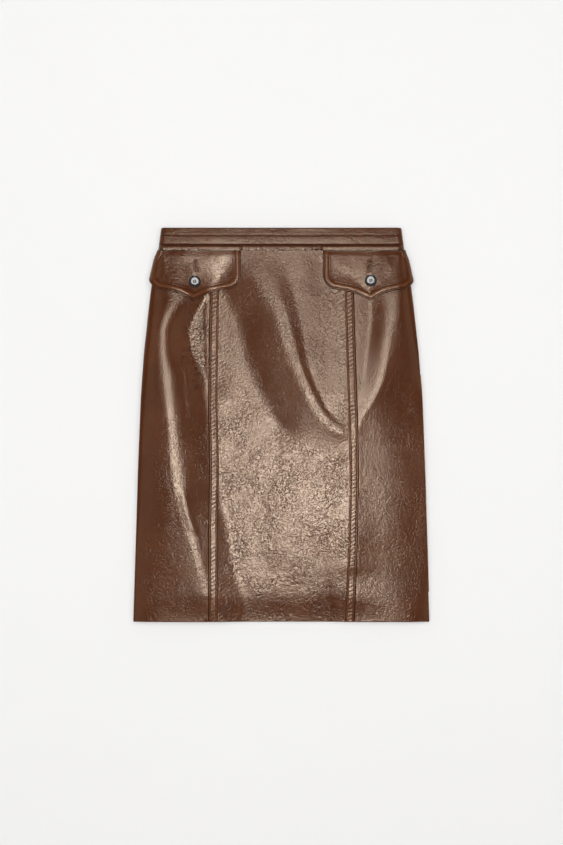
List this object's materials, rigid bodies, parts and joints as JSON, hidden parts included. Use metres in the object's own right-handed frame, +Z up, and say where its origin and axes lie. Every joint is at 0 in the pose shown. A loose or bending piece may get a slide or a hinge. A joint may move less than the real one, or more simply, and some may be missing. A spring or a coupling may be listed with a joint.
{
  "type": "leather midi skirt",
  "caption": "Glazed leather midi skirt laid flat: A-line panels, shaped waistband, pointed buttoned pocket flaps and a hidden zip at the centre back.",
  "frame": {"origin": "on the surface that the skirt lies on, under the middle of its outline", "axes": "+Z up out of the front, +Y towards the waist, +X to the right of someone who looks down at the front"},
  "size_m": [0.449, 0.5972, 0.0193],
  "materials": {
    "leather": "glazed, crinkled",
    "button": "polished",
    "zip_tape": "woven",
    "zip_metal": "enamelled"
  },
  "bodies": {
    "garment": {"front_centre": "leather", "front_side_left": "leather", "front_side_right": "leather", "back_left": "leather", "back_right": "leather", "waistband_front": "leather", "waistband_back_left": "leather", "waistband_back_right": "leather", "pocket_flap_left": "leather", "pocket_flap_right": "leather", "button_left": "button", "button_right": "button", "zip_tape": "zip_tape", "zip_slider": "zip_metal"},
    "zip_pull": {"zip_pull": "zip_metal"}
  },
  "joints": [
    {"name": "zip_pull_swing", "type": "hinge", "parent": "garment", "child": "zip_pull", "pos_m": [0, 0.2897, 0.0021], "axis": [1, 0, 0], "range_deg": [0, 170]}
  ]
}
